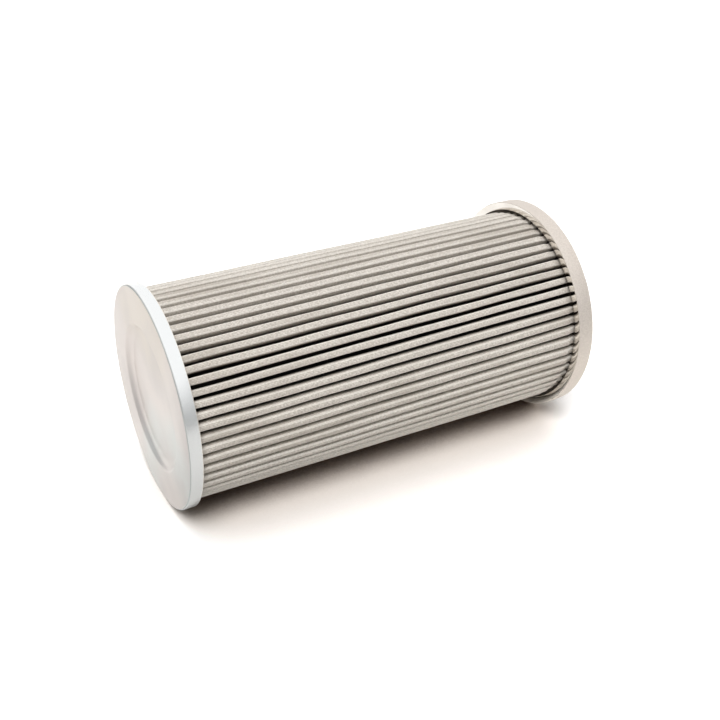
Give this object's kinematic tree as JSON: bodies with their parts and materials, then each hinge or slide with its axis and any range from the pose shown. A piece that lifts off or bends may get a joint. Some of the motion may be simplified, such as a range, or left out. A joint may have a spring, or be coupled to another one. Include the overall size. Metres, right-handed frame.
{
  "type": "oil suction filter element",
  "caption": "Round oil suction filter element: pleated wire mesh between a dished closed cap and a turned flange with an outlet neck and seal ring.",
  "frame": {"origin": "centre of the closed cap's outer face, which the element stands on", "axes": "+Z along the element's axis, from the closed cap to the outlet neck; X and Y are alike"},
  "size_m": [0.1348, 0.1348, 0.2743],
  "materials": {
    "woven_wire": "fine woven wire, satin",
    "clip_steel": "plated sheet, satin",
    "core_steel": "slotted plated sheet, satin",
    "cap_steel": "pressed plated sheet, satin",
    "bonding_resin": "cast resin",
    "flange_steel": "turned and plated, grainy rim",
    "neck_steel": "turned, satin",
    "weld_metal": "weld bead",
    "seal_rubber": "matt rubber"
  },
  "bodies": {
    "root": {"pleated_mesh": "woven_wire", "seam_clip": "clip_steel", "core_tube": "core_steel", "closed_end_cap": "cap_steel", "closed_end_resin": "bonding_resin", "open_end_resin": "bonding_resin", "end_flange": "flange_steel", "outlet_neck": "neck_steel", "neck_weld": "weld_metal", "seal_ring": "seal_rubber"}
  },
  "joints": []
}
